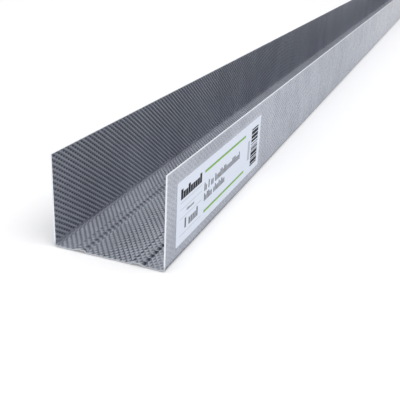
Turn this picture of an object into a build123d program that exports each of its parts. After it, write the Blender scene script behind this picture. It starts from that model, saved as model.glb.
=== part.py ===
"""Drywall track: a U channel of thin galvanised sheet that is fixed to floor and ceiling and takes the ends
of the wall studs, with the paper label on its flange. Millimetres; +X along the length, +Z up out of the
channel's mouth, origin at the centre of the web's underside. The labelled flange stands on the -Y side."""

from build123d import *
import os

# The stock length and the section, measured over the outside
length = 3000.0
web_width = 50.0
flange_height = 40.0
gauge = 0.65
inner_bend_radius = 0.65

# The two stiffening ribs, rolled up out of the web
rib_spacing = 25.5
rib_base_width = 5.5
rib_crown_width = 3.5
rib_height = 0.8
rib_bend_radius = 0.3

# The label on the -Y flange, near the end at -X
label_length = 110.5
label_height = 27.4
label_thickness = 0.1
label_corner_radius = 0.8
label_from_end = 9.0
label_from_top = 6.4

near_end = -length / 2
half_web = web_width / 2


def rib_underside(centre):
    """The four corners of one rib on the sheet's underside, from -Y to +Y: foot, crown, crown, foot."""
    return [
        (centre - rib_base_width / 2, 0),
        (centre - rib_crown_width / 2, rib_height),
        (centre + rib_crown_width / 2, rib_height),
        (centre + rib_base_width / 2, 0),
    ]


# The sheet is rolled to one thickness, so its whole section is the underside's line with its bends, set
# off inwards by the gauge. A corner that turns up has the gauge added to its bend on the underside.
outer_bend_radius = inner_bend_radius + gauge
foot_radius = rib_bend_radius + gauge
rib_radii = [foot_radius, rib_bend_radius, rib_bend_radius, foot_radius]
underside_corners = [
    (-half_web, flange_height),
    (-half_web, 0),
    *rib_underside(-rib_spacing / 2),
    *rib_underside(rib_spacing / 2),
    (half_web, 0),
    (half_web, flange_height),
]

with BuildPart() as track:
    with BuildSketch(Plane.YZ.offset(near_end)):
        with BuildLine():
            FilletPolyline(*underside_corners, radius=[outer_bend_radius, *rib_radii, *rib_radii, outer_bend_radius])
            offset(amount=gauge, side=Side.LEFT)
        make_face()
    extrude(amount=length)

# The label lies face to face on the flange's outer face, set in from the end and from the top edge
label_centre = (
    near_end + label_from_end + label_length / 2,
    flange_height - label_from_top - label_height / 2,
)
with BuildPart() as label:
    with BuildSketch(Plane.XZ.offset(half_web)):
        with Locations(label_centre):
            RectangleRounded(label_length, label_height, label_corner_radius)
    extrude(amount=label_thickness)

track.part.label = "track"
label.part.label = "label"

os.makedirs("parts", exist_ok=True)
export_step(track.part, "parts/track.step")
export_step(label.part, "parts/label.step")
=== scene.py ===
"""Finishes the drywall track: the dimpled galvanised sheet is rolled from a flat grid, its label is
printed, and both lie on a plain white stage. Metres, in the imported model's frame: +X along the length,
+Z up out of the channel's mouth, the labelled flange on the -Y side and the near end at -X."""

import math
from collections import namedtuple

import bmesh
import bpy
from bpy.props import FloatProperty, FloatVectorProperty, IntProperty, PointerProperty
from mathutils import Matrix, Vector


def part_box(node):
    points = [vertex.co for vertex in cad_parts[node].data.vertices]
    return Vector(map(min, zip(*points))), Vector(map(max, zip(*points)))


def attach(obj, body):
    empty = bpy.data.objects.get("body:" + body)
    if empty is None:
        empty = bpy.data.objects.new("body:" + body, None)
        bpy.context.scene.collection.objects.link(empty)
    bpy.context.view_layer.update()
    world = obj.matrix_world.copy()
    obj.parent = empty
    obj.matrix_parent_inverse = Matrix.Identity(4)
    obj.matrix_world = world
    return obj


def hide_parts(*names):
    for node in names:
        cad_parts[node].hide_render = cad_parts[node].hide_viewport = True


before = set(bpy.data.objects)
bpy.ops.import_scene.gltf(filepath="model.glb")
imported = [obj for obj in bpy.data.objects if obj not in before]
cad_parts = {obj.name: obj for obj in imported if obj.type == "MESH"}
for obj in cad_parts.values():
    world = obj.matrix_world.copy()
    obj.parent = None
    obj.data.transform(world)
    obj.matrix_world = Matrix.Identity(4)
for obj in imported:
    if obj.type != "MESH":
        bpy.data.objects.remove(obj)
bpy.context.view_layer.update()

bl_info = {
    "name": "Drywall Track",
    "version": (1, 0, 0),
    "blender": (4, 5, 0),
    "location": "3D View > Sidebar > Track",
    "description": "Rolls a dimpled galvanised drywall track, prints its label and sets its stage",
    "category": "Object",
}

MM = 0.001
TRACK_LOW, TRACK_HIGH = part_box("track")
LABEL_LOW, LABEL_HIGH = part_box("label")


def length_property(name, description, default):
    """A size in metres."""
    return FloatProperty(
        name=name, description=description, default=default, min=0.0, precision=5, unit="LENGTH"
    )


def share_property(name, description, default):
    """A plain number from 0 to 1."""
    return FloatProperty(
        name=name, description=description, default=default, min=0.0, max=1.0, subtype="FACTOR"
    )


def colour_property(name, description, default):
    """A linear colour."""
    return FloatVectorProperty(
        name=name, description=description, default=default, size=3, min=0.0, max=1.0, subtype="COLOR"
    )


def place_property(name, description, default):
    """A coordinate in metres."""
    return FloatProperty(name=name, description=description, default=default, precision=4, unit="LENGTH")


def angle_property(name, description, degrees):
    """An angle, given in degrees."""
    return FloatProperty(name=name, description=description, default=math.radians(degrees), unit="ROTATION")


class TrackSheetSettings(bpy.types.PropertyGroup):
    """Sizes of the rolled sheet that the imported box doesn't give."""

    gauge: length_property("Gauge", "Thickness of the sheet", 0.65 * MM)
    bend_radius: length_property("Bend radius", "Inside radius of the two long bends", 0.65 * MM)
    bend_steps: IntProperty(name="Bend steps", description="Facets round a bend", default=5, min=2, max=12)
    rib_spacing: length_property("Rib spacing", "Between the centre lines of the web's ribs", 25.5 * MM)
    rib_base: length_property("Rib base", "Width of a rib at its foot", 5.5 * MM)
    rib_crown: length_property("Rib crown", "Width of a rib's flat top", 3.5 * MM)
    rib_height: length_property("Rib height", "How far a rib stands up from the web", 0.8 * MM)
    pitch_along: length_property("Pitch along", "From dimple to dimple along the length", 3.43 * MM)
    pitch_across: length_property("Pitch across", "From dimple to dimple across the strip", 2.36 * MM)
    dimple_depth: length_property("Dimple depth", "From the top of one to the bottom of the next", 0.4 * MM)
    web_relief: share_property("Web relief", "Depth of the web's dimples beside the flanges'", 0.7)
    relief_length: length_property("Relief length", "Length of the modelled dimples", 650 * MM)
    fade_columns: IntProperty(
        name="Fade columns", description="Columns they fade over", default=220, min=1, max=400
    )
    far_spans: IntProperty(name="Far spans", description="Long faces past them", default=12, min=1, max=60)


class FinishSettings(bpy.types.PropertyGroup):
    """Colours, film and painted shade, gloss and fine relief of the zinc and of the cut edges."""

    zinc_light: colour_property("Light zinc", "The brighter crystals of the coating", (0.435, 0.46, 0.52))
    zinc_dark: colour_property("Dark zinc", "The duller crystals of the coating", (0.355, 0.375, 0.43))
    # Dark grey of the oxide film, and of the painted shade in the pits, rows, bends and feet and on the cut
    # edges
    film_and_shade_colour: colour_property("Film", "Grey oxide film that the rolls leave", (0.08, 0.085, 0.11))
    cut_light: colour_property("Light cut", "Steel of the sheared edges", (0.90, 0.93, 0.98))
    cut_dark: colour_property("Dark cut", "Their duller spots", (0.72, 0.744, 0.784))
    roughness: share_property("Roughness", "Roughness of the zinc", 0.26)
    gloss_change: share_property("Gloss change", "How far the crystals change it", 0.04)
    # Painted shade on the cut edges near the floor, which are mostly the web's
    web_cut_shade: share_property("Web cut film", "Film on the cut edge of the web", 0.4)
    cut_roughness: share_property("Cut roughness", "Roughness of the sheared edges", 0.5)
    cut_gloss_change: share_property("Cut gloss change", "How far their grain changes it", 0.2)
    # Partly oxide film and partly painted shade between the rows inside the flanges
    flange_film_and_shade: share_property("Flange film", "Film between the rows inside the flanges", 0.95)
    # Makes the inner side of the flanges darker towards their top edges
    rim_darkening: share_property("Rim film", "Even film inside the flanges' rims", 0.10)
    # Painted shade along the web's rows, growing towards its +Y edge
    web_line_shade: share_property("Web film", "Film between the rows at the web's +Y edge", 0.15)
    # Partly oxide film and partly painted shade in the web's pits, strongest at its -Y edge
    pit_film_and_shade: share_property("Pit film", "Film in the pits at the web's -Y edge", 0.58)
    # Painted shade on the studs of the outer side near the near end
    outer_shade: share_property("Outer film", "Film on the studs of the outer side", 0.12)
    # Painted shade outside the flanges' feet, darker towards the floor
    foot_shade: share_property("Foot film", "Film outside the flanges' feet", 0.10)
    # Makes the outer side evenly darker past the label
    far_darkening: share_property("Far film", "Even film on the outer side past the label", 0.09)
    # Painted shade in the bends and along the edges of the ribs
    bend_shade: share_property("Bend film", "Film along the bends and the edges of the ribs", 0.85)
    # Painted shade on the outer side of the bends and of the ribs' edges
    hem_shade: share_property("Hem film", "Even film on the outer side of the bends", 1.0)
    # The inner film and painted shade are lighter past 20 to 70 mm from the near end
    film_loss: share_property("Film loss", "How much thinner the inner film is past the handled end", 0.28)
    web_ridges: share_property("Web ridges", "How far the web's crests are joined into rows", 0.6)
    flange_ridges: share_property("Flange ridges", "How far the flanges' crests are joined into rows", 1.0)
    foot_bump: length_property("Foot bump", "Sharper relief inside the flanges' feet", 0.20 * MM)
    web_bump: length_property("Web bump", "Sharper relief at the web's +Y edge", 0.38 * MM)
    web_dullness: share_property("Web dullness", "Oxide that dulls the web's +Y edge", 0.32)
    flange_dullness: share_property("Flange dullness", "Oxide that dulls the flanges' inner sides", 0.33)
    far_bump: length_property("Far bump", "Relief past the modelled dimples", 0.25 * MM)


class LabelSettings(bpy.types.PropertyGroup):
    """Colours and gloss of the label."""

    paper: colour_property("Paper", "Coated white paper", (0.70, 0.745, 0.84))
    ink: colour_property("Ink", "Dark print", (0.012, 0.013, 0.018))
    rule_ink: colour_property("Rules", "Thin table rules", (0.40, 0.44, 0.46))
    green: colour_property("Green", "The two green bars", (0.22, 0.42, 0.12))
    roughness: share_property("Roughness", "Least roughness of the paper", 0.5)
    gloss_change: share_property("Gloss change", "How far its fibres change it", 0.15)


class StageSettings(bpy.types.PropertyGroup):
    """The camera, the light and the floor."""

    camera_x: place_property("Camera X", "Place along the track", -1.7012)
    camera_y: place_property("Camera Y", "Place beside the track", -0.1127)
    camera_z: place_property("Camera Z", "Height of the camera", 0.1246)
    tilt: angle_property("Tilt", "Up from looking down", 66.894)
    roll: angle_property("Roll", "Lean of the camera", -2.544)
    turn: angle_property("Turn", "Turn about Z", -68.47)
    lens: FloatProperty(name="Lens", description="Focal length", default=58.575, unit="CAMERA")
    floor_colour: colour_property("Floor", "Plain pale floor", (0.86, 0.86, 0.87))
    floor_lift: share_property("Floor lift", "How much of its own light the floor shows the camera", 0.16)
    world_light: FloatProperty(
        name="World light", description="Strength of the soft light", default=0.75, min=0.0
    )
    key_power: FloatProperty(
        name="Key power", description="Power of the soft lamp", default=30.0, min=0.0, unit="POWER"
    )


def add_node(tree, kind, links=(), **settings):
    """A node with its settings. links gives (input, socket or value) pairs."""
    node = tree.nodes.new(kind)
    for name, value in settings.items():
        setattr(node, name, value)
    for name, value in dict(links).items():
        if isinstance(value, bpy.types.NodeSocket):
            tree.links.new(value, node.inputs[name])
        else:
            node.inputs[name].default_value = value
    return node


def maths(tree, operation, *values):
    """The output of a Math node on sockets or numbers."""
    return add_node(tree, "ShaderNodeMath", enumerate(values), operation=operation).outputs[0]


def vector_maths(tree, operation, *values):
    """The output of a Vector Math node on sockets or vectors."""
    return add_node(tree, "ShaderNodeVectorMath", enumerate(values), operation=operation).outputs[0]


def mixed(tree, share, first, second):
    """A blend of two numbers."""
    return add_node(tree, "ShaderNodeMix", {0: share, 2: first, 3: second}).outputs[0]


def mixed_colour(tree, share, first, second):
    """A blend of two colours."""
    links = {0: share, 6: first, 7: second}
    return add_node(tree, "ShaderNodeMix", links, data_type="RGBA").outputs[2]


def smoothed(tree, value):
    """A value from 0 to 1 with its turns rounded."""
    node = add_node(tree, "ShaderNodeMapRange", {"Value": value}, interpolation_type="SMOOTHSTEP")
    return node.outputs[0]


def graded(tree, value, start, end, first, last):
    """A number that goes from first to last while the value goes from start to end."""
    limits = {"Value": value, "From Min": start, "From Max": end, "To Min": first, "To Max": last}
    return add_node(tree, "ShaderNodeMapRange", limits).outputs[0]


def from_near_end(tree, x, limits, first, last):
    """A number that goes from first to last between two distances from the near end."""
    return graded(tree, x, TRACK_LOW.x + limits[0], TRACK_LOW.x + limits[1], first, last)


def opaque(colour):
    """A colour property as four numbers."""
    return (*colour, 1.0)


def new_group(name, inputs, outputs):
    """An empty shader group with its sockets, and its two end nodes."""
    group = bpy.data.node_groups.new(name, "ShaderNodeTree")
    for way, sockets in (("INPUT", inputs), ("OUTPUT", outputs)):
        for label, kind in sockets.items():
            group.interface.new_socket(label, in_out=way, socket_type=kind)
    return group, group.nodes.new("NodeGroupInput").outputs, group.nodes.new("NodeGroupOutput").inputs


def use_group(tree, group, **links):
    """A placed group. An input's name is written with underscores here."""
    named = {name.replace("_", " "): value for name, value in links.items()}
    return add_node(tree, "ShaderNodeGroup", named, node_tree=group).outputs


def new_material(name):
    """An empty material with its Principled shader, already joined to the output."""
    material = bpy.data.materials.new(name)
    material.use_nodes = True
    tree = material.node_tree
    tree.nodes.clear()
    shader = tree.nodes.new("ShaderNodeBsdfPrincipled")
    output = tree.nodes.new("ShaderNodeOutputMaterial")
    tree.links.new(shader.outputs[0], output.inputs["Surface"])
    return material, tree, shader


def dimple_group():
    """Rows of dimples from a map that counts half a pitch from each vertex to the next. The inner side has
    pits and rows of joined crests, the outer side has lone studs. Line lies between the rows inside a
    flange, and on the flank of each row elsewhere."""
    group, given, made = new_group(
        "Dimple Rows",
        {
            "Cells": "NodeSocketVector",
            "Inner": "NodeSocketFloat",
            "Flange": "NodeSocketFloat",
            "Ridge Share": "NodeSocketFloat",
        },
        {"Height": "NodeSocketFloat", "Crest": "NodeSocketFloat", "Line": "NodeSocketFloat"},
    )
    parts = add_node(group, "ShaderNodeSeparateXYZ", {0: given["Cells"]}).outputs
    zigzags = [maths(group, "PINGPONG", parts[k], 1.0) for k in range(2)]
    total = maths(group, "ADD", *zigzags)
    struck = maths(group, "ABSOLUTE", maths(group, "SUBTRACT", total, 1.0))
    rounded = smoothed(group, struck)
    ridges = maths(group, "SUBTRACT", 1.0, rounded)
    crest = mixed(group, given["Inner"], rounded, ridges)
    group.links.new(crest, made["Crest"])
    turned = maths(group, "MULTIPLY_ADD", given["Flange"], 2.0, -1.0)
    rows = maths(group, "MULTIPLY_ADD", parts[0], turned, parts[1])
    joined = smoothed(group, maths(group, "PINGPONG", rows, 1.0))
    struck_side = mixed(group, given["Ridge Share"], ridges, joined)
    height = mixed(group, given["Inner"], rounded, struck_side)
    group.links.new(height, made["Height"])
    shift = mixed(group, given["Flange"], -0.5, 1.0)
    line = maths(group, "PINGPONG", maths(group, "ADD", rows, shift), 1.0)
    group.links.new(smoothed(group, line), made["Line"])
    return group


# The zinc's clouds, crystals and grain. The clouds are longer across the track and up its flanges
GRAINS_PER_CRYSTAL = 3.0
CRYSTAL_SHARE = 0.12
CLOUD_STRETCH = (1.0, 0.55, 0.55)
TONE_LIMITS = (0.35, 0.65)


def bloom_group():
    """The cloudy crystals of a zinc coat: a tone, a change of gloss and a faint grain."""
    group, given, made = new_group(
        "Zinc Bloom",
        {"Place": "NodeSocketVector", "Cloud Size": "NodeSocketFloat", "Crystal Size": "NodeSocketFloat"},
        {"Tone": "NodeSocketFloat", "Gloss": "NodeSocketFloat", "Grain": "NodeSocketFloat"},
    )
    cloud_scale = maths(group, "DIVIDE", 1.0, given["Cloud Size"])
    crystal_scale = maths(group, "DIVIDE", 1.0, given["Crystal Size"])
    cloud = add_node(
        group,
        "ShaderNodeTexNoise",
        {"Vector": given["Place"], "Scale": cloud_scale, "Detail": 5.0, "Roughness": 0.6},
    )
    crystals = add_node(
        group, "ShaderNodeTexVoronoi", {"Vector": given["Place"], "Scale": crystal_scale}, feature="F1"
    )
    crystal_tone = add_node(group, "ShaderNodeSeparateXYZ", {0: crystals.outputs["Color"]}).outputs[0]
    grain_scale = maths(group, "MULTIPLY", crystal_scale, GRAINS_PER_CRYSTAL)
    grain = add_node(
        group, "ShaderNodeTexNoise", {"Vector": given["Place"], "Scale": grain_scale, "Detail": 3.0}
    )
    tone = mixed(group, CRYSTAL_SHARE, cloud.outputs[0], crystal_tone)
    group.links.new(tone, made["Tone"])
    group.links.new(maths(group, "SUBTRACT", crystal_tone, 0.5), made["Gloss"])
    group.links.new(grain.outputs[0], made["Grain"])
    return group


# What the sheet's mesh tells its material at each vertex, from 0 to 1
SHEET_LAYERS = ("flange", "bend", "inner", "modelled")

# Where the finish and its painted shade change: along the track from its near end, across it, and up from
# its underside
# The inner film and painted shade thin out over this span from the near end
INNER_THINNING = (20 * MM, 70 * MM)
# Painted shade on the outer studs fades out over this span from the near end
SHADED_STUDS = (20 * MM, 160 * MM)
# The outer side darkens evenly over this span
FAR_LENGTH = (160 * MM, 300 * MM)
PITS_FROM_Y = -18 * MM
RELIEF_FROM_Y = 3 * MM
# Painted shade on the outer side at the flanges' feet reaches this high
FOOT_HEIGHT = 15 * MM
# Painted shade on the cut edges fades out between these heights
CUT_WEB_HEIGHT = (1.5 * MM, 3 * MM)

# Shares of the film and painted shade that lie evenly and that follow the dimples, and the powers that
# shape their masks
ROW_FILM_AND_SHADE_EVEN = 0.35
ROW_FILM_AND_SHADE_DASHED = 0.9
BEND_SHADE_EVEN = 0.4
BEND_SHADE_DOTTED = 1.1
HEM_SHADE_EVEN = 1.6
PIT_FILM_AND_SHADE_LEFT = 0.3
ROW_POWER = 0.6
PIT_POWER = 3.0


def inner_film_and_shade(tree, finish, rows, flange, place):
    """Oxide film and painted shade on the inner side: between a flange's rows and in the web's pits,
    painted shade along the web's lines, and a darkening towards the flanges' rims.
    """
    x, y, z = place
    hollow = maths(tree, "SUBTRACT", 1.0, rows["Crest"])
    # Between a flange's rows: partly oxide film, partly painted shade
    even, dashed = ROW_FILM_AND_SHADE_EVEN * finish.flange_film_and_shade, ROW_FILM_AND_SHADE_DASHED * finish.flange_film_and_shade
    row_film_and_shade = maths(tree, "MULTIPLY_ADD", hollow, dashed, even)
    flange_rows = maths(tree, "MULTIPLY", maths(tree, "POWER", rows["Line"], ROW_POWER), row_film_and_shade)
    # In the web's pits: partly oxide film, partly painted shade, strongest at the -Y edge
    pits = maths(tree, "POWER", hollow, PIT_POWER)
    pit_film_and_shade = graded(tree, y, PITS_FROM_Y, TRACK_HIGH.y, finish.pit_film_and_shade, PIT_FILM_AND_SHADE_LEFT * finish.pit_film_and_shade)
    # Along the web's lines: painted shade, growing towards the +Y edge
    line_shade = graded(tree, y, 0.0, TRACK_HIGH.y, 0.0, finish.web_line_shade)
    web_lines = maths(tree, "MULTIPLY", maths(tree, "MULTIPLY", rows["Line"], rows["Crest"]), line_shade)
    web_rows = maths(tree, "MULTIPLY_ADD", pits, pit_film_and_shade, web_lines)
    lined = mixed(tree, flange, web_rows, flange_rows)
    # All of it is lighter past 20 to 70 mm from the near end
    past_end = from_near_end(tree, x, INNER_THINNING, 1.0, 1.0 - finish.film_loss)
    # Darker towards the top edges inside the flanges
    rims = maths(tree, "MULTIPLY", graded(tree, z, TRACK_LOW.z, TRACK_HIGH.z, 0.0, finish.rim_darkening), flange)
    return maths(tree, "MULTIPLY_ADD", lined, past_end, rims)


def outer_shade(tree, finish, rows, place):
    """Painted shade on the outer side: on the studs near the end and at the flanges' feet, and an even
    darkening far along.
    """
    x, _, z = place
    # Painted shade on the studs, fading away from the near end
    studs = from_near_end(tree, x, SHADED_STUDS, finish.outer_shade, 0.0)
    # Painted shade at the flanges' feet, darker towards the floor
    feet = graded(tree, z, TRACK_LOW.z, TRACK_LOW.z + FOOT_HEIGHT, finish.foot_shade, 0.0)
    # Evenly darker past the label
    far = from_near_end(tree, x, FAR_LENGTH, 0.0, finish.far_darkening)
    return maths(tree, "ADD", maths(tree, "MULTIPLY_ADD", rows["Crest"], studs, feet), far)


def inner_bump(tree, finish, flange, place):
    """How deep the bump that sharpens the modelled relief of the inner side is."""
    _, y, z = place
    web = graded(tree, y, RELIEF_FROM_Y, TRACK_HIGH.y, 0.0, finish.web_bump)
    feet = graded(tree, z, TRACK_LOW.z, TRACK_HIGH.z, finish.foot_bump, 0.0)
    return mixed(tree, flange, web, feet)


def zinc_material(finish, dimples, bloom):
    """Satin galvanised steel, darkened by oxide film and painted shade. Where the dimples aren't modelled,
    a bump stands for them.
    """
    material, tree, shader = new_material("galvanised_sheet")
    position = add_node(tree, "ShaderNodeTexCoord").outputs["Object"]
    place = add_node(tree, "ShaderNodeSeparateXYZ", {0: position}).outputs
    cells = add_node(tree, "ShaderNodeUVMap", uv_map="dimple_cells").outputs[0]
    flange, bend, inner, modelled = (
        add_node(tree, "ShaderNodeAttribute", attribute_name=name).outputs["Fac"] for name in SHEET_LAYERS
    )
    ridges = mixed(tree, flange, finish.web_ridges, finish.flange_ridges)
    rows = use_group(tree, dimples, Cells=cells, Inner=inner, Flange=flange, Ridge_Share=ridges)
    stretched = vector_maths(tree, "MULTIPLY", position, CLOUD_STRETCH)
    zinc = use_group(tree, bloom, Place=stretched, Cloud_Size=22 * MM, Crystal_Size=2 * MM)
    tone = graded(tree, zinc["Tone"], *TONE_LIMITS, 0.0, 1.0)
    coat = mixed_colour(tree, tone, opaque(finish.zinc_dark), opaque(finish.zinc_light))
    struck = maths(tree, "SUBTRACT", 1.0, bend)
    outside, inside = outer_shade(tree, finish, rows, place), inner_film_and_shade(tree, finish, rows, flange, place)
    sides = maths(tree, "MULTIPLY", mixed(tree, inner, outside, inside), struck)
    # Painted shade on the bends and the ribs' edges: even on the outer side, and dotted by the crests on
    # both sides
    even = mixed(tree, inner, HEM_SHADE_EVEN * finish.hem_shade, BEND_SHADE_EVEN * finish.bend_shade)
    bend_shade = maths(tree, "MULTIPLY_ADD", rows["Crest"], BEND_SHADE_DOTTED * finish.bend_shade, even)
    film = maths(tree, "MULTIPLY_ADD", maths(tree, "MULTIPLY", bend, bend), bend_shade, sides)
    # The zinc darkens towards the film colour with the film and the painted shade
    colour = mixed_colour(tree, film, coat, opaque(finish.film_and_shade_colour))
    tree.links.new(colour, shader.inputs["Base Color"])
    web_dullness = graded(tree, place[1], 0.0, TRACK_HIGH.y, 0.0, finish.web_dullness)
    dull = maths(tree, "MULTIPLY", mixed(tree, flange, web_dullness, finish.flange_dullness), inner)
    tree.links.new(maths(tree, "SUBTRACT", 1.0, dull), shader.inputs["Metallic"])
    gloss = maths(tree, "MULTIPLY_ADD", zinc["Gloss"], finish.gloss_change, finish.roughness)
    tree.links.new(maths(tree, "ADD", gloss, dull), shader.inputs["Roughness"])
    sharper = maths(tree, "MULTIPLY", inner, inner_bump(tree, finish, flange, place))
    stood_for = maths(tree, "MULTIPLY", maths(tree, "SUBTRACT", 1.0, modelled), finish.far_bump)
    depth = maths(tree, "MULTIPLY", maths(tree, "ADD", sharper, stood_for), struck)
    height = maths(tree, "MULTIPLY", rows["Height"], depth)
    dimpled = add_node(tree, "ShaderNodeBump", {"Height": height, "Strength": 1.0, "Distance": 1.0})
    grain = {"Height": zinc["Grain"], "Strength": 0.10, "Distance": 0.05 * MM, "Normal": dimpled.outputs[0]}
    tree.links.new(add_node(tree, "ShaderNodeBump", grain).outputs[0], shader.inputs["Normal"])
    return material


def cut_material(finish, bloom):
    """Bright steel of the sheared edges, greyer with painted shade low on the web's edge."""
    material, tree, shader = new_material("cut_edge")
    position = add_node(tree, "ShaderNodeTexCoord").outputs["Object"]
    steel = use_group(tree, bloom, Place=position, Cloud_Size=6 * MM, Crystal_Size=0.5 * MM)
    cut_dark, cut_light = opaque(finish.cut_dark), opaque(finish.cut_light)
    colour = mixed_colour(tree, steel["Tone"], cut_dark, cut_light)
    low, high = (TRACK_LOW.z + height for height in CUT_WEB_HEIGHT)
    z = add_node(tree, "ShaderNodeSeparateXYZ", {0: position}).outputs[2]
    # Painted shade low on the cut edges, darker towards the floor
    film = graded(tree, z, low, high, finish.web_cut_shade, 0.0)
    colour = mixed_colour(tree, film, colour, opaque(finish.film_and_shade_colour))
    tree.links.new(colour, shader.inputs["Base Color"])
    shader.inputs["Metallic"].default_value = 1.0
    gloss = maths(tree, "MULTIPLY_ADD", steel["Gloss"], finish.cut_gloss_change, finish.cut_roughness)
    tree.links.new(gloss, shader.inputs["Roughness"])
    grain = {"Height": steel["Grain"], "Strength": 0.4, "Distance": 0.05 * MM}
    tree.links.new(add_node(tree, "ShaderNodeBump", grain).outputs[0], shader.inputs["Normal"])
    return material


def printed_bar_group():
    """A printed rectangle: 1 inside it and 0 outside, from places measured in millimetres."""
    group, given, made = new_group(
        "Printed Bar",
        {
            "Place": "NodeSocketVector",
            "Left": "NodeSocketFloat",
            "Right": "NodeSocketFloat",
            "Top": "NodeSocketFloat",
            "Bottom": "NodeSocketFloat",
        },
        {"Ink": "NodeSocketFloat"},
    )
    parts = add_node(group, "ShaderNodeSeparateXYZ", {0: given["Place"]}).outputs
    insides = [
        maths(group, "GREATER_THAN", parts[0], given["Left"]),
        maths(group, "LESS_THAN", parts[0], given["Right"]),
        maths(group, "GREATER_THAN", parts[1], given["Top"]),
        maths(group, "LESS_THAN", parts[1], given["Bottom"]),
    ]
    across = maths(group, "MULTIPLY", insides[0], insides[1])
    down = maths(group, "MULTIPLY", insides[2], insides[3])
    group.links.new(maths(group, "MULTIPLY", across, down), made["Ink"])
    return group


# The share of the blocks that are short, and how far below the top of the bar those start
SHORT_BLOCKS = 0.7
SHORT_TOP = 0.3


def block_row_group():
    """Breaks a bar of print into plain blocks, tall and short, and leaves some of them blank."""
    group, given, made = new_group(
        "Block Row",
        {
            "Along": "NodeSocketFloat",
            "Below Top": "NodeSocketFloat",
            "Pitch": "NodeSocketFloat",
            "Gap Share": "NodeSocketFloat",
            "Blank Share": "NodeSocketFloat",
            "Seed": "NodeSocketFloat",
        },
        {"Ink": "NodeSocketFloat"},
    )
    count = maths(group, "DIVIDE", given["Along"], given["Pitch"])
    within = maths(group, "GREATER_THAN", maths(group, "FRACT", count), given["Gap Share"])
    number = maths(group, "ADD", maths(group, "FLOOR", count), given["Seed"])
    noise = add_node(group, "ShaderNodeTexWhiteNoise", {"W": number}, noise_dimensions="1D")
    chance = noise.outputs["Value"]
    kept = maths(group, "GREATER_THAN", chance, given["Blank Share"])
    tall = maths(group, "GREATER_THAN", chance, SHORT_BLOCKS)
    low = maths(group, "GREATER_THAN", given["Below Top"], SHORT_TOP)
    block = maths(group, "MULTIPLY", within, kept)
    group.links.new(maths(group, "MULTIPLY", block, maths(group, "MAXIMUM", tall, low)), made["Ink"])
    return group


# Print on the label: left, right, top and bottom in millimetres from the track's near end and its top edge
TABLE_RULES = (16.0, 18.8, 22.8, 30.1)
TABLE_SIDES = (12.4, 35.3)
RULE_WIDTH = 0.22
GREEN_BARS = ((38.5, 94.2, 10.6, 11.8), (38.5, 94.2, 29.0, 30.2))
TICK_COLUMN = (98.9, 102.4, 15.4, 25.6)
STRIPE_COLUMN = (104.5, 115.4, 10.5, 30.4)
# Rows of blocks: the pitch in millimetres, the share of it that is gap, the share of blanks and a seed
TICK_BLOCKS = (0.85, 0.3, 0.0, 5.0)
WIDE_STRIPES = (2.25, 0.16, 0.0, 4.0)
NARROW_STRIPES = (0.45, 0.0, 0.22, 21.0)
# Bars of blocks: the rectangle, the row of blocks and how dark it is printed
BLOCK_BARS = (
    ((12.8, 35.2, 10.2, 14.6), (2.5, 0.1, 0.0, 57.0), 1.0),
    ((19.2, 27.1, 19.9, 21.2), (0.9, 0.3, 0.05, 3.0), 0.85),
    ((15.1, 32.0, 23.9, 28.3), (2.1, 0.3, 0.12, 11.0), 0.85),
    ((38.4, 86.0, 16.4, 20.1), (1.65, 0.3, 0.10, 39.0), 0.85),
    ((38.4, 67.8, 21.2, 24.7), (1.65, 0.3, 0.08, 82.0), 0.85),
)
TICK_INK = 0.5


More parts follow.
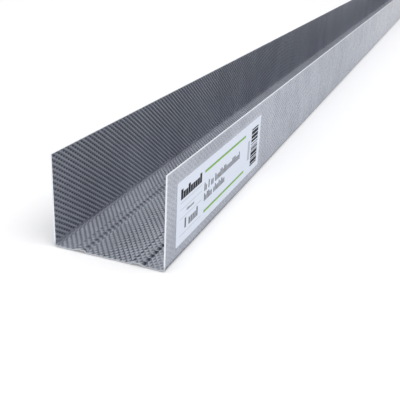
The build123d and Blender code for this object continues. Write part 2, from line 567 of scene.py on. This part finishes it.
def label_material(label):
    """Coated white paper with table rules, two green bars and plain blocks and stripes."""
    material, tree, shader = new_material("label_paper")
    bar, row = printed_bar_group(), block_row_group()
    position = add_node(tree, "ShaderNodeTexCoord").outputs["Object"]
    from_corner = vector_maths(tree, "SUBTRACT", position, (TRACK_LOW.x, 0.0, TRACK_HIGH.z))
    parts = add_node(tree, "ShaderNodeSeparateXYZ", {0: from_corner}).outputs
    along = maths(tree, "DIVIDE", parts[0], MM)
    down = maths(tree, "DIVIDE", parts[2], -MM)
    spot = add_node(tree, "ShaderNodeCombineXYZ", {0: along, 1: down}).outputs[0]

    def printed(rectangle):
        left, right, top, bottom = rectangle
        return use_group(tree, bar, Place=spot, Left=left, Right=right, Top=top, Bottom=bottom)["Ink"]

    def blocks(measure, pitch, gap, blank, seed, below=1.0):
        shares = {"Gap_Share": gap, "Blank_Share": blank}
        placed = use_group(tree, row, Along=measure, Below_Top=below, Pitch=pitch, Seed=seed, **shares)
        return placed["Ink"]

    def block_bar(rectangle, row_of_blocks, ink):
        _, _, top, bottom = rectangle
        below = maths(tree, "DIVIDE", maths(tree, "SUBTRACT", down, top), bottom - top)
        kept = maths(tree, "MULTIPLY", printed(rectangle), blocks(along, *row_of_blocks, below))
        return maths(tree, "MULTIPLY", kept, ink)

    def together(masks):
        total = masks[0]
        for mask in masks[1:]:
            total = maths(tree, "MAXIMUM", total, mask)
        return total

    rules = together([printed((*TABLE_SIDES, y - RULE_WIDTH / 2, y + RULE_WIDTH / 2)) for y in TABLE_RULES])
    green = together([printed(rectangle) for rectangle in GREEN_BARS])
    ticks = maths(tree, "MULTIPLY", printed(TICK_COLUMN), blocks(down, *TICK_BLOCKS))
    bands = maths(tree, "MULTIPLY", blocks(down, *WIDE_STRIPES), blocks(down, *NARROW_STRIPES))
    stripes = maths(tree, "MULTIPLY", printed(STRIPE_COLUMN), bands)
    bars = [block_bar(*given) for given in BLOCK_BARS]
    dark = together([*bars, maths(tree, "MULTIPLY", ticks, TICK_INK), stripes])
    colour = mixed_colour(tree, rules, opaque(label.paper), opaque(label.rule_ink))
    colour = mixed_colour(tree, green, colour, opaque(label.green))
    colour = mixed_colour(tree, dark, colour, opaque(label.ink))
    tree.links.new(colour, shader.inputs["Base Color"])
    shader.inputs["Specular IOR Level"].default_value = 0.05
    paper = add_node(tree, "ShaderNodeTexNoise", {"Vector": position, "Scale": 2400.0, "Detail": 2.0})
    gloss = maths(tree, "MULTIPLY_ADD", paper.outputs[0], label.gloss_change, label.roughness)
    tree.links.new(gloss, shader.inputs["Roughness"])
    fibre = {"Height": paper.outputs[0], "Strength": 0.12, "Distance": 0.04 * MM}
    bump = add_node(tree, "ShaderNodeBump", fibre)
    tree.links.new(bump.outputs[0], shader.inputs["Normal"])
    return material


def half_section(sheet):
    """Stations down the labelled flange, round its bend and along the web to the middle: y, z and the part
    of the section they are on. They are on the sheet's outer side, set in by half a dimple."""
    inset = sheet.dimple_depth / 2
    outer_radius = sheet.bend_radius + sheet.gauge
    row = sheet.pitch_across / 2
    wall_y = TRACK_LOW.y + inset
    floor_z = TRACK_LOW.z + inset * sheet.web_relief
    bend_y, bend_z = wall_y + outer_radius, floor_z + outer_radius
    rib_y = -sheet.rib_spacing / 2
    rib_z = floor_z + sheet.rib_height
    stations = []

    def run_to(start, end, part, first):
        steps = max(1, round(math.dist(start, end) / row))
        for k in range(steps):
            share = k / steps
            y = start[0] + (end[0] - start[0]) * share
            z = start[1] + (end[1] - start[1]) * share
            stations.append((y, z, part if k else first))

    run_to((wall_y, TRACK_HIGH.z), (wall_y, bend_z), "flange", "flange")
    for k in range(sheet.bend_steps + 1):
        angle = math.pi / 2 * k / sheet.bend_steps
        y, z = bend_y - outer_radius * math.cos(angle), bend_z - outer_radius * math.sin(angle)
        stations.append((y, z, "bend"))
    corners = [
        ((bend_y + row / 2, floor_z), "web"),
        ((rib_y - sheet.rib_base / 2, floor_z), "web"),
        ((rib_y - sheet.rib_crown / 2, rib_z), "outer edge"),
        ((rib_y + sheet.rib_crown / 2, rib_z), "inner edge"),
        ((rib_y + sheet.rib_base / 2, floor_z), "web"),
        ((0.0, floor_z), "web"),
    ]
    for (start, first), (end, _) in zip(corners, corners[1:]):
        run_to(start, end, "web", first)
    return stations


def whole_section(sheet):
    """The half section and its mirror image, met at the web's middle."""
    half = half_section(sheet)
    middle = (0.0, half[-1][1], "web")
    return [*half, middle, *((-y, z, part) for y, z, part in reversed(half))]


def inward_normals(stations):
    """For each station, the way into the channel, lengthened at a corner to keep the sheet's gauge."""
    places = [Vector((y, z)) for y, z, _ in stations]
    sides = []
    for here, after in zip(places, places[1:]):
        way = (after - here).normalized()
        sides.append(Vector((-way.y, way.x)))
    normals = []
    for before, after in zip([sides[0], *sides], [*sides, sides[-1]]):
        normals.append((before + after) / (1 + before.dot(after)))
    return normals


def rows_across(stations, sheet):
    """The dimple count at each station. A bend takes one half pitch, or two to keep the rows in step."""
    within_bend = (2 - sheet.bend_steps % 2) / sheet.bend_steps
    counts = [0.0]
    for (_, _, before), (_, _, after) in zip(stations, stations[1:]):
        counts.append(counts[-1] + (within_bend if before == after == "bend" else 1.0))
    return counts


def sheet_columns(sheet):
    """Places along the length: x, the dimple count there and how far the dimples are modelled."""
    step = sheet.pitch_along / 2
    near = round(sheet.relief_length / step)
    columns = []
    for k in range(near + 1):
        columns.append((TRACK_LOW.x + k * step, k, min(1.0, (near - k) / sheet.fade_columns)))
    start = columns[-1][0]
    for k in range(1, sheet.far_spans + 1):
        x = start + (TRACK_HIGH.x - start) * k / sheet.far_spans
        columns.append((x, (x - TRACK_LOW.x) / step, 0.0))
    return columns


# How bare of dimples a part is and how much painted shade it takes, by its name and whether it is in the +Y
# half
BEND_WEIGHTS = {
    ("bend", False): 0.62,
    ("bend", True): 0.62,
    ("outer edge", False): 0.6,
    ("inner edge", True): 1.0,
}

# Where a vertex of the sheet lies: its column and row in the grid, the dimple counts there, whether it is
# on the inner side and on a flange, and whether the dimples are modelled there
Spot = namedtuple("Spot", "column row along across inner flange dimpled")


def under_label(x, y, z, sheet):
    """Whether a point of the section is covered by the label, or is the next dimple beside it."""
    along = LABEL_LOW.x - sheet.pitch_along / 2 < x < LABEL_HIGH.x + sheet.pitch_along / 2
    down = LABEL_LOW.z - sheet.pitch_across / 2 < z < LABEL_HIGH.z + sheet.pitch_across / 2
    return y < 0 and along and down


def bend_to_shape(bm, sheet, stations, columns, layers):
    """Moves each point of the flat grid to its place in the dimpled channel, and gives each one's spot."""
    normals, rows = inward_normals(stations), rows_across(stations, sheet)
    across, along = len(stations) - 1, len(columns) - 1
    depth = sheet.dimple_depth / 2
    struck_share = {"flange": 1.0, "bend": 0.0}
    spots = {}
    for vert in bm.verts:
        i, j = round((vert.co.x + 0.5) * along), round((vert.co.y + 0.5) * across)
        inner = abs(vert.co.z) > 0.5
        x, count, shown = columns[i]
        y, z, part = stations[j]
        flange = part == "flange"
        peak = 1 if (i + j) % 2 else -1
        border = min(1, j, across - j, i if flange else 1)
        struck = struck_share.get(part, sheet.web_relief)
        offset = peak * depth * struck * shown * border
        if not inner and under_label(x, y, z, sheet):
            offset = -depth
        lift = offset + (sheet.gauge if inner else 0.0)
        vert.co = (x, y + normals[j].x * lift, z + normals[j].y * lift)
        known = (flange, BEND_WEIGHTS.get((part, y > 0), 0.0), inner, shown)
        for layer, value in zip(layers, known):
            vert[layer] = float(value)
        spots[vert] = Spot(i, j, count, rows[j], inner, flange, struck * shown > 0)
    return spots


def split_faces(bm, spots, cells):
    """Maps the faces, and splits those of the dimples: along the rows inside the flanges, and from crest to
    crest elsewhere."""
    fixed, alternate = [], []
    for face in bm.faces:
        met = [spots[loop.vert] for loop in face.loops]
        for loop, spot in zip(face.loops, met):
            loop[cells].uv = (spot.along, spot.across)
        rim = len({spot.inner for spot in met}) == 2
        dimpled = any(spot.dimpled for spot in met)
        face.material_index = 1 if rim else 0
        face.smooth = not (dimpled or rim)
        if dimpled and not rim:
            first, third = met[0], met[2]
            in_row = first.column + first.row == third.column + third.row
            crests = (first.column + first.row) % 2 == 1
            joined = in_row if all(spot.inner and spot.flange for spot in met) else crests
            (fixed if joined else alternate).append(face)
    bmesh.ops.triangulate(bm, faces=fixed, quad_method="FIXED")
    bmesh.ops.triangulate(bm, faces=alternate, quad_method="ALTERNATE")


def sort_faces(bm):
    """Puts the faces in order of place, because the rim's faces come in another order each run."""
    ordered = sorted(bm.faces, key=lambda face: (face.material_index, *face.calc_center_median()))
    for number, face in enumerate(ordered):
        face.index = number
    bm.faces.sort()


def rolled_sheet(sheet):
    """A flat grid is given its two sides, bent to the section and split along the rows of its dimples."""
    stations, columns = whole_section(sheet), sheet_columns(sheet)
    bm = bmesh.new()
    bmesh.ops.create_grid(bm, x_segments=len(columns) - 1, y_segments=len(stations) - 1, size=0.5)
    bmesh.ops.solidify(bm, geom=bm.faces[:], thickness=1.0)
    layers = [bm.verts.layers.float.new(name) for name in SHEET_LAYERS]
    cells = bm.loops.layers.uv.new("dimple_cells")
    spots = bend_to_shape(bm, sheet, stations, columns, layers)
    split_faces(bm, spots, cells)
    sort_faces(bm)
    bmesh.ops.recalc_face_normals(bm, faces=bm.faces[:])
    mesh = bpy.data.meshes.new("track_sheet")
    bm.to_mesh(mesh)
    bm.free()
    return mesh


class TRACK_OT_roll_sheet(bpy.types.Operator):
    """Roll the dimpled sheet with its bends and ribs"""

    bl_idname = "drywall_track.roll_sheet"
    bl_label = "Roll Sheet"

    def execute(self, context):
        finish = context.scene.track_finish
        mesh = rolled_sheet(context.scene.track_sheet)
        bloom = bloom_group()
        mesh.materials.append(zinc_material(finish, dimple_group(), bloom))
        mesh.materials.append(cut_material(finish, bloom))
        piece = bpy.data.objects.new("track_sheet", mesh)
        context.scene.collection.objects.link(piece)
        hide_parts("track")
        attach(piece, "root")
        return {"FINISHED"}


class TRACK_OT_print_label(bpy.types.Operator):
    """Print the paper label"""

    bl_idname = "drywall_track.print_label"
    bl_label = "Print Label"

    def execute(self, context):
        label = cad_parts["label"]
        label.data.materials.clear()
        label.data.materials.append(label_material(context.scene.track_label))
        return {"FINISHED"}


def seen_share(tree):
    """1 for what the camera, a reflection or a clear thing shows, and 0 for plain light."""
    path = add_node(tree, "ShaderNodeLightPath").outputs
    shown = maths(tree, "MAXIMUM", path["Is Camera Ray"], path["Is Glossy Ray"])
    return maths(tree, "MAXIMUM", shown, path["Is Transmission Ray"])


def set_world(stage):
    """White behind the object, and soft light from all round."""
    world = bpy.data.worlds.new("soft_sky")
    bpy.context.scene.world = world
    world.use_nodes = True
    tree = world.node_tree
    tree.nodes.clear()
    strength = mixed(tree, seen_share(tree), stage.world_light, 1.0)
    sky = add_node(tree, "ShaderNodeBackground", {"Color": (1.0, 1.0, 1.0, 1.0), "Strength": strength})
    add_node(tree, "ShaderNodeOutputWorld", {"Surface": sky.outputs[0]})


def floor_material(stage):
    """A pale floor that takes the shadow, lifted to white where the camera sees it."""
    material, tree, shader = new_material("pale_floor")
    shader.inputs["Base Color"].default_value = opaque(stage.floor_colour)
    shader.inputs["Roughness"].default_value = 0.9
    shader.inputs["Emission Color"].default_value = (1.0, 1.0, 1.0, 1.0)
    lift = maths(tree, "MULTIPLY", seen_share(tree), stage.floor_lift)
    tree.links.new(lift, shader.inputs["Emission Strength"])
    return material


# The floor and the lamp, in metres
FLOOR_REACH = 30.0
FLOOR_GAP = 0.1 * MM
KEY_SIZE = (2.5, 1.5)
KEY_PLACE = (-1.9, -1.2, 2.2)
KEY_TARGET = (-1.2, 0.0, 0.0)


def set_floor(context, stage):
    """The floor, just under the track."""
    bm = bmesh.new()
    bmesh.ops.create_grid(bm, x_segments=1, y_segments=1, size=FLOOR_REACH)
    bmesh.ops.translate(bm, verts=bm.verts[:], vec=(0.0, 0.0, TRACK_LOW.z - FLOOR_GAP))
    mesh = bpy.data.meshes.new("floor")
    bm.to_mesh(mesh)
    bm.free()
    mesh.materials.append(floor_material(stage))
    floor = bpy.data.objects.new("floor", mesh)
    context.scene.collection.objects.link(floor)


def set_lamp(context, stage):
    """One wide soft lamp above the near end."""
    lamp = bpy.data.lights.new("soft_key", "AREA")
    lamp.shape = "RECTANGLE"
    lamp.size, lamp.size_y = KEY_SIZE
    lamp.energy = stage.key_power
    key = bpy.data.objects.new("soft_key", lamp)
    key.location = KEY_PLACE
    key.rotation_euler = (Vector(KEY_TARGET) - key.location).to_track_quat("-Z", "Y").to_euler()
    context.scene.collection.objects.link(key)


def set_camera(context, stage):
    """The camera, placed as for the photo."""
    lens = bpy.data.cameras.new("camera")
    lens.lens = stage.lens
    lens.sensor_width = 36.0
    lens.clip_start, lens.clip_end = 0.01, 100.0
    camera = bpy.data.objects.new("camera", lens)
    camera.location = (stage.camera_x, stage.camera_y, stage.camera_z)
    camera.rotation_euler = (stage.tilt, stage.roll, stage.turn)
    context.scene.collection.objects.link(camera)
    context.scene.camera = camera


class TRACK_OT_set_stage(bpy.types.Operator):
    """Set the floor, the soft light and the camera"""

    bl_idname = "drywall_track.set_stage"
    bl_label = "Set Stage"

    def execute(self, context):
        stage = context.scene.track_stage
        context.scene.view_settings.view_transform = "Standard"
        set_world(stage)
        set_floor(context, stage)
        set_lamp(context, stage)
        set_camera(context, stage)
        return {"FINISHED"}


class TRACK_PT_sidebar(bpy.types.Panel):
    """Sizes, colours and steps of the drywall track"""

    bl_label = "Drywall Track"
    bl_idname = "TRACK_PT_sidebar"
    bl_space_type = "VIEW_3D"
    bl_region_type = "UI"
    bl_category = "Track"

    def draw(self, context):
        for group in SETTINGS:
            settings = getattr(context.scene, group)
            box = self.layout.box()
            for name in settings.__annotations__:
                box.prop(settings, name)
        for step in STEPS:
            self.layout.operator(step.bl_idname)


SETTINGS = {
    "track_sheet": TrackSheetSettings,
    "track_finish": FinishSettings,
    "track_label": LabelSettings,
    "track_stage": StageSettings,
}
STEPS = (TRACK_OT_roll_sheet, TRACK_OT_print_label, TRACK_OT_set_stage)


def register():
    for kind in (*SETTINGS.values(), *STEPS, TRACK_PT_sidebar):
        bpy.utils.register_class(kind)
    for name, kind in SETTINGS.items():
        setattr(bpy.types.Scene, name, PointerProperty(type=kind))


def unregister():
    for name in SETTINGS:
        delattr(bpy.types.Scene, name)
    for kind in (TRACK_PT_sidebar, *reversed(STEPS), *reversed(SETTINGS.values())):
        bpy.utils.unregister_class(kind)


def main():
    register()
    bpy.ops.drywall_track.roll_sheet()
    bpy.ops.drywall_track.print_label()
    bpy.ops.drywall_track.set_stage()


if __name__ == "__main__":
    main()
